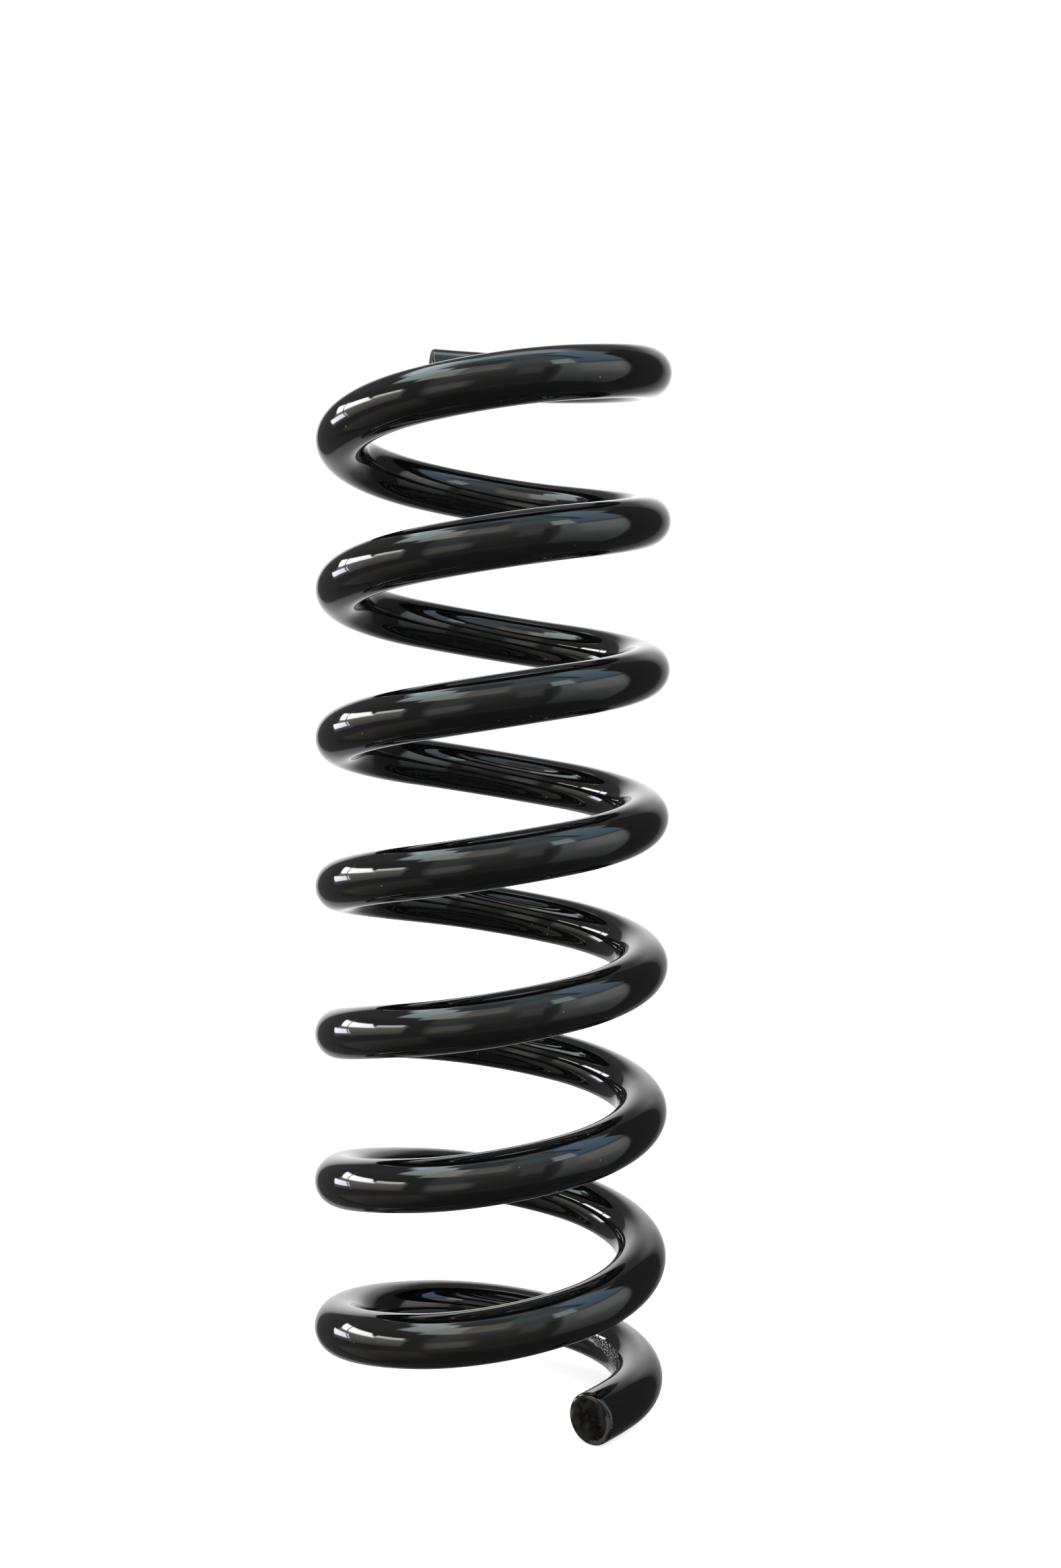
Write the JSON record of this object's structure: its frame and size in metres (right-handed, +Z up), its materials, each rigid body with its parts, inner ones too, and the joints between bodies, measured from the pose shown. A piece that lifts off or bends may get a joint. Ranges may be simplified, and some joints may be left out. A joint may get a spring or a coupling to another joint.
{
  "type": "coil spring",
  "caption": "Open right-hand compression coil spring of round steel bar with plain cut ends, gloss black coated, as used round a suspension strut.",
  "frame": {"origin": "on the coil's axis, in the plane of the lower seat that the lowest coil rests on", "axes": "+Z up along the coil's axis from the lower seat to the upper seat; the lower cut end faces about -X -Y"},
  "size_m": [0.1121, 0.1127, 0.3449],
  "materials": {
    "powder_coat": "gloss"
  },
  "bodies": {
    "lower_end": {"lower_end": "powder_coat"},
    "coil_01_a": {"coil_01_a": "powder_coat"},
    "coil_01_b": {"coil_01_b": "powder_coat"},
    "coil_01_c": {"coil_01_c": "powder_coat"},
    "coil_01_d": {"coil_01_d": "powder_coat"},
    "coil_01_e": {"coil_01_e": "powder_coat"},
    "coil_01_f": {"coil_01_f": "powder_coat"},
    "coil_02_a": {"coil_02_a": "powder_coat"},
    "coil_02_b": {"coil_02_b": "powder_coat"},
    "coil_02_c": {"coil_02_c": "powder_coat"},
    "coil_02_d": {"coil_02_d": "powder_coat"},
    "coil_02_e": {"coil_02_e": "powder_coat"},
    "coil_02_f": {"coil_02_f": "powder_coat"},
    "coil_03_a": {"coil_03_a": "powder_coat"},
    "coil_03_b": {"coil_03_b": "powder_coat"},
    "coil_03_c": {"coil_03_c": "powder_coat"},
    "coil_03_d": {"coil_03_d": "powder_coat"},
    "coil_03_e": {"coil_03_e": "powder_coat"},
    "coil_03_f": {"coil_03_f": "powder_coat"},
    "coil_04_a": {"coil_04_a": "powder_coat"},
    "coil_04_b": {"coil_04_b": "powder_coat"},
    "coil_04_c": {"coil_04_c": "powder_coat"},
    "coil_04_d": {"coil_04_d": "powder_coat"},
    "coil_04_e": {"coil_04_e": "powder_coat"},
    "coil_04_f": {"coil_04_f": "powder_coat"},
    "coil_05_a": {"coil_05_a": "powder_coat"},
    "coil_05_b": {"coil_05_b": "powder_coat"},
    "coil_05_c": {"coil_05_c": "powder_coat"},
    "coil_05_d": {"coil_05_d": "powder_coat"},
    "coil_05_e": {"coil_05_e": "powder_coat"},
    "coil_05_f": {"coil_05_f": "powder_coat"},
    "coil_06_a": {"coil_06_a": "powder_coat"},
    "coil_06_b": {"coil_06_b": "powder_coat"},
    "coil_06_c": {"coil_06_c": "powder_coat"},
    "coil_06_d": {"coil_06_d": "powder_coat"},
    "coil_06_e": {"coil_06_e": "powder_coat"},
    "coil_06_f": {"coil_06_f": "powder_coat"},
    "coil_07_a": {"coil_07_a": "powder_coat"},
    "coil_07_b": {"coil_07_b": "powder_coat"},
    "coil_07_c": {"coil_07_c": "powder_coat"},
    "coil_07_d": {"coil_07_d": "powder_coat"},
    "coil_07_e": {"coil_07_e": "powder_coat"},
    "coil_07_f": {"coil_07_f": "powder_coat"},
    "coil_08_a": {"coil_08_a": "powder_coat"},
    "upper_end": {"upper_end": "powder_coat"}
  },
  "joints": [
    {"name": "twist_01", "type": "hinge", "parent": "lower_end", "child": "coil_01_a", "pos_m": [0.04729, 0.0019, 0.00935], "axis": [0.0167, -0.9987, -0.0475], "range_deg": [0, 0.83333], "stiffness_Nm_per_rad": 10000},
    {"name": "twist_02", "type": "hinge", "parent": "coil_01_a", "child": "coil_01_b", "pos_m": [0.02361, 0.04186, 0.01302], "axis": [0.8662, -0.4915, -0.0896], "range_deg": [0, 1.67], "stiffness_Nm_per_rad": 10000},
    {"name": "twist_03", "type": "hinge", "parent": "coil_01_b", "child": "coil_01_c", "pos_m": [-0.02398, 0.04168, 0.01881], "axis": [0.8587, 0.4983, -0.12], "range_deg": [0, 2.5], "stiffness_Nm_per_rad": 10000},
    {"name": "twist_04", "type": "hinge", "parent": "coil_01_c", "child": "coil_01_d", "pos_m": [-0.048, 0.00001, 0.02595], "axis": [-0.0003, 0.9908, -0.1351], "range_deg": [0, 3.33], "stiffness_Nm_per_rad": 10000},
    {"name": "twist_05", "type": "hinge", "parent": "coil_01_d", "child": "coil_01_e", "pos_m": [-0.02399, -0.04156, 0.03361], "axis": [-0.8576, 0.4952, -0.1389], "range_deg": [0, 4.17], "stiffness_Nm_per_rad": 10000},
    {"name": "compress", "type": "hinge", "parent": "coil_01_e", "child": "coil_01_f", "pos_m": [0.02399, -0.04156, 0.04138], "axis": [-0.8576, -0.4952, -0.1389], "range_deg": [0, 5], "stiffness_Nm_per_rad": 10000},
    {"name": "twist_07", "type": "hinge", "parent": "coil_01_f", "child": "coil_02_a", "pos_m": [0.04799, 0, 0.04916], "axis": [0, -0.9903, -0.1389], "range_deg": [0, 5], "stiffness_Nm_per_rad": 10000},
    {"name": "twist_08", "type": "hinge", "parent": "coil_02_a", "child": "coil_02_b", "pos_m": [0.02399, 0.04156, 0.05693], "axis": [0.8576, -0.4952, -0.1389], "range_deg": [0, 5], "stiffness_Nm_per_rad": 10000},
    {"name": "twist_09", "type": "hinge", "parent": "coil_02_b", "child": "coil_02_c", "pos_m": [-0.02399, 0.04156, 0.0647], "axis": [0.8576, 0.4952, -0.1389], "range_deg": [0, 5], "stiffness_Nm_per_rad": 10000},
    {"name": "twist_10", "type": "hinge", "parent": "coil_02_c", "child": "coil_02_d", "pos_m": [-0.04799, 0, 0.07247], "axis": [0, 0.9903, -0.1389], "range_deg": [0, 5], "stiffness_Nm_per_rad": 10000},
    {"name": "twist_11", "type": "hinge", "parent": "coil_02_d", "child": "coil_02_e", "pos_m": [-0.02399, -0.04156, 0.08025], "axis": [-0.8576, 0.4952, -0.1389], "range_deg": [0, 5], "stiffness_Nm_per_rad": 10000},
    {"name": "twist_12", "type": "hinge", "parent": "coil_02_e", "child": "coil_02_f", "pos_m": [0.02399, -0.04156, 0.08802], "axis": [-0.8576, -0.4952, -0.1389], "range_deg": [0, 5], "stiffness_Nm_per_rad": 10000},
    {"name": "twist_13", "type": "hinge", "parent": "coil_02_f", "child": "coil_03_a", "pos_m": [0.04799, 0, 0.09579], "axis": [0, -0.9903, -0.1389], "range_deg": [0, 5], "stiffness_Nm_per_rad": 10000},
    {"name": "twist_14", "type": "hinge", "parent": "coil_03_a", "child": "coil_03_b", "pos_m": [0.02399, 0.04156, 0.10356], "axis": [0.8576, -0.4952, -0.1389], "range_deg": [0, 5], "stiffness_Nm_per_rad": 10000},
    {"name": "twist_15", "type": "hinge", "parent": "coil_03_b", "child": "coil_03_c", "pos_m": [-0.02399, 0.04156, 0.11134], "axis": [0.8576, 0.4952, -0.1389], "range_deg": [0, 5], "stiffness_Nm_per_rad": 10000},
    {"name": "twist_16", "type": "hinge", "parent": "coil_03_c", "child": "coil_03_d", "pos_m": [-0.04799, 0, 0.11911], "axis": [0, 0.9903, -0.1389], "range_deg": [0, 5], "stiffness_Nm_per_rad": 10000},
    {"name": "twist_17", "type": "hinge", "parent": "coil_03_d", "child": "coil_03_e", "pos_m": [-0.02399, -0.04156, 0.12688], "axis": [-0.8576, 0.4952, -0.1389], "range_deg": [0, 5], "stiffness_Nm_per_rad": 10000},
    {"name": "twist_18", "type": "hinge", "parent": "coil_03_e", "child": "coil_03_f", "pos_m": [0.02399, -0.04156, 0.13465], "axis": [-0.8576, -0.4952, -0.1389], "range_deg": [0, 5], "stiffness_Nm_per_rad": 10000},
    {"name": "twist_19", "type": "hinge", "parent": "coil_03_f", "child": "coil_04_a", "pos_m": [0.04799, 0, 0.14243], "axis": [0, -0.9903, -0.1389], "range_deg": [0, 5], "stiffness_Nm_per_rad": 10000},
    {"name": "twist_20", "type": "hinge", "parent": "coil_04_a", "child": "coil_04_b", "pos_m": [0.02399, 0.04156, 0.1502], "axis": [0.8576, -0.4952, -0.1389], "range_deg": [0, 5], "stiffness_Nm_per_rad": 10000},
    {"name": "twist_21", "type": "hinge", "parent": "coil_04_b", "child": "coil_04_c", "pos_m": [-0.02399, 0.04156, 0.15797], "axis": [0.8576, 0.4952, -0.1389], "range_deg": [0, 5], "stiffness_Nm_per_rad": 10000},
    {"name": "twist_22", "type": "hinge", "parent": "coil_04_c", "child": "coil_04_d", "pos_m": [-0.04799, 0, 0.16574], "axis": [0, 0.9903, -0.1389], "range_deg": [0, 5], "stiffness_Nm_per_rad": 10000},
    {"name": "twist_23", "type": "hinge", "parent": "coil_04_d", "child": "coil_04_e", "pos_m": [-0.02399, -0.04156, 0.17352], "axis": [-0.8576, 0.4952, -0.1389], "range_deg": [0, 5], "stiffness_Nm_per_rad": 10000},
    {"name": "twist_24", "type": "hinge", "parent": "coil_04_e", "child": "coil_04_f", "pos_m": [0.02399, -0.04156, 0.18129], "axis": [-0.8576, -0.4952, -0.1389], "range_deg": [0, 5], "stiffness_Nm_per_rad": 10000},
    {"name": "twist_25", "type": "hinge", "parent": "coil_04_f", "child": "coil_05_a", "pos_m": [0.04799, 0, 0.18906], "axis": [0, -0.9903, -0.1389], "range_deg": [0, 5], "stiffness_Nm_per_rad": 10000},
    {"name": "twist_26", "type": "hinge", "parent": "coil_05_a", "child": "coil_05_b", "pos_m": [0.02399, 0.04156, 0.19683], "axis": [0.8576, -0.4952, -0.1389], "range_deg": [0, 5], "stiffness_Nm_per_rad": 10000},
    {"name": "twist_27", "type": "hinge", "parent": "coil_05_b", "child": "coil_05_c", "pos_m": [-0.02399, 0.04156, 0.20461], "axis": [0.8576, 0.4952, -0.1389], "range_deg": [0, 5], "stiffness_Nm_per_rad": 10000},
    {"name": "twist_28", "type": "hinge", "parent": "coil_05_c", "child": "coil_05_d", "pos_m": [-0.04799, 0, 0.21238], "axis": [0, 0.9903, -0.1389], "range_deg": [0, 5], "stiffness_Nm_per_rad": 10000},
    {"name": "twist_29", "type": "hinge", "parent": "coil_05_d", "child": "coil_05_e", "pos_m": [-0.02399, -0.04156, 0.22015], "axis": [-0.8576, 0.4952, -0.1389], "range_deg": [0, 5], "stiffness_Nm_per_rad": 10000},
    {"name": "twist_30", "type": "hinge", "parent": "coil_05_e", "child": "coil_05_f", "pos_m": [0.02399, -0.04156, 0.22792], "axis": [-0.8576, -0.4952, -0.1389], "range_deg": [0, 5], "stiffness_Nm_per_rad": 10000},
    {"name": "twist_31", "type": "hinge", "parent": "coil_05_f", "child": "coil_06_a", "pos_m": [0.04799, 0, 0.2357], "axis": [0, -0.9903, -0.1389], "range_deg": [0, 5], "stiffness_Nm_per_rad": 10000},
    {"name": "twist_32", "type": "hinge", "parent": "coil_06_a", "child": "coil_06_b", "pos_m": [0.02399, 0.04156, 0.24347], "axis": [0.8576, -0.4952, -0.1389], "range_deg": [0, 5], "stiffness_Nm_per_rad": 10000},
    {"name": "twist_33", "type": "hinge", "parent": "coil_06_b", "child": "coil_06_c", "pos_m": [-0.02399, 0.04156, 0.25124], "axis": [0.8576, 0.4952, -0.1389], "range_deg": [0, 5], "stiffness_Nm_per_rad": 10000},
    {"name": "twist_34", "type": "hinge", "parent": "coil_06_c", "child": "coil_06_d", "pos_m": [-0.04799, 0, 0.25901], "axis": [0, 0.9903, -0.1389], "range_deg": [0, 5], "stiffness_Nm_per_rad": 10000},
    {"name": "twist_35", "type": "hinge", "parent": "coil_06_d", "child": "coil_06_e", "pos_m": [-0.02399, -0.04156, 0.26679], "axis": [-0.8576, 0.4952, -0.1389], "range_deg": [0, 5], "stiffness_Nm_per_rad": 10000},
    {"name": "twist_36", "type": "hinge", "parent": "coil_06_e", "child": "coil_06_f", "pos_m": [0.02399, -0.04156, 0.27456], "axis": [-0.8576, -0.4952, -0.1389], "range_deg": [0, 5], "stiffness_Nm_per_rad": 10000},
    {"name": "twist_37", "type": "hinge", "parent": "coil_06_f", "child": "coil_07_a", "pos_m": [0.04799, 0, 0.28233], "axis": [0, -0.9903, -0.1389], "range_deg": [0, 5], "stiffness_Nm_per_rad": 10000},
    {"name": "twist_38", "type": "hinge", "parent": "coil_07_a", "child": "coil_07_b", "pos_m": [0.02399, 0.04156, 0.2901], "axis": [0.8576, -0.4952, -0.1389], "range_deg": [0, 5], "stiffness_Nm_per_rad": 10000},
    {"name": "twist_39", "type": "hinge", "parent": "coil_07_b", "child": "coil_07_c", "pos_m": [-0.02399, 0.04156, 0.29788], "axis": [0.8576, 0.4952, -0.1389], "range_deg": [0, 5], "stiffness_Nm_per_rad": 10000},
    {"name": "twist_40", "type": "hinge", "parent": "coil_07_c", "child": "coil_07_d", "pos_m": [-0.04799, 0, 0.30565], "axis": [0, 0.9903, -0.1389], "range_deg": [0, 4.17], "stiffness_Nm_per_rad": 10000},
    {"name": "twist_41", "type": "hinge", "parent": "coil_07_d", "child": "coil_07_e", "pos_m": [-0.02399, -0.04156, 0.31342], "axis": [-0.8576, 0.4952, -0.1389], "range_deg": [0, 3.33], "stiffness_Nm_per_rad": 10000},
    {"name": "twist_42", "type": "hinge", "parent": "coil_07_e", "child": "coil_07_f", "pos_m": [0.024, -0.04156, 0.32115], "axis": [-0.8579, -0.4952, -0.1372], "range_deg": [0, 2.5], "stiffness_Nm_per_rad": 10000},
    {"name": "twist_43", "type": "hinge", "parent": "coil_07_f", "child": "coil_08_a", "pos_m": [0.04805, 0.00006, 0.3284], "axis": [-0.0017, -0.9925, -0.1221], "range_deg": [0, 1.67], "stiffness_Nm_per_rad": 10000},
    {"name": "twist_44", "type": "hinge", "parent": "coil_08_a", "child": "upper_end", "pos_m": [0.02406, 0.04196, 0.3341], "axis": [0.8593, -0.5049, -0.0816], "range_deg": [0, 0.83333], "stiffness_Nm_per_rad": 10000}
  ],
  "couplings": [
    {"joint": "twist_01", "follows": "compress", "ratio": 0.16667},
    {"joint": "twist_02", "follows": "compress", "ratio": 0.33333},
    {"joint": "twist_03", "follows": "compress", "ratio": 0.5},
    {"joint": "twist_04", "follows": "compress", "ratio": 0.66667},
    {"joint": "twist_05", "follows": "compress", "ratio": 0.83333},
    {"joint": "twist_07", "follows": "compress", "ratio": 1},
    {"joint": "twist_08", "follows": "compress", "ratio": 1},
    {"joint": "twist_09", "follows": "compress", "ratio": 1},
    {"joint": "twist_10", "follows": "compress", "ratio": 1},
    {"joint": "twist_11", "follows": "compress", "ratio": 1},
    {"joint": "twist_12", "follows": "compress", "ratio": 1},
    {"joint": "twist_13", "follows": "compress", "ratio": 1},
    {"joint": "twist_14", "follows": "compress", "ratio": 1},
    {"joint": "twist_15", "follows": "compress", "ratio": 1},
    {"joint": "twist_16", "follows": "compress", "ratio": 1},
    {"joint": "twist_17", "follows": "compress", "ratio": 1},
    {"joint": "twist_18", "follows": "compress", "ratio": 1},
    {"joint": "twist_19", "follows": "compress", "ratio": 1},
    {"joint": "twist_20", "follows": "compress", "ratio": 1},
    {"joint": "twist_21", "follows": "compress", "ratio": 1},
    {"joint": "twist_22", "follows": "compress", "ratio": 1},
    {"joint": "twist_23", "follows": "compress", "ratio": 1},
    {"joint": "twist_24", "follows": "compress", "ratio": 1},
    {"joint": "twist_25", "follows": "compress", "ratio": 1},
    {"joint": "twist_26", "follows": "compress", "ratio": 1},
    {"joint": "twist_27", "follows": "compress", "ratio": 1},
    {"joint": "twist_28", "follows": "compress", "ratio": 1},
    {"joint": "twist_29", "follows": "compress", "ratio": 1},
    {"joint": "twist_30", "follows": "compress", "ratio": 1},
    {"joint": "twist_31", "follows": "compress", "ratio": 1},
    {"joint": "twist_32", "follows": "compress", "ratio": 1},
    {"joint": "twist_33", "follows": "compress", "ratio": 1},
    {"joint": "twist_34", "follows": "compress", "ratio": 1},
    {"joint": "twist_35", "follows": "compress", "ratio": 1},
    {"joint": "twist_36", "follows": "compress", "ratio": 1},
    {"joint": "twist_37", "follows": "compress", "ratio": 1},
    {"joint": "twist_38", "follows": "compress", "ratio": 1},
    {"joint": "twist_39", "follows": "compress", "ratio": 1},
    {"joint": "twist_40", "follows": "compress", "ratio": 0.83333},
    {"joint": "twist_41", "follows": "compress", "ratio": 0.66667},
    {"joint": "twist_42", "follows": "compress", "ratio": 0.5},
    {"joint": "twist_43", "follows": "compress", "ratio": 0.33333},
    {"joint": "twist_44", "follows": "compress", "ratio": 0.16667}
  ]
}
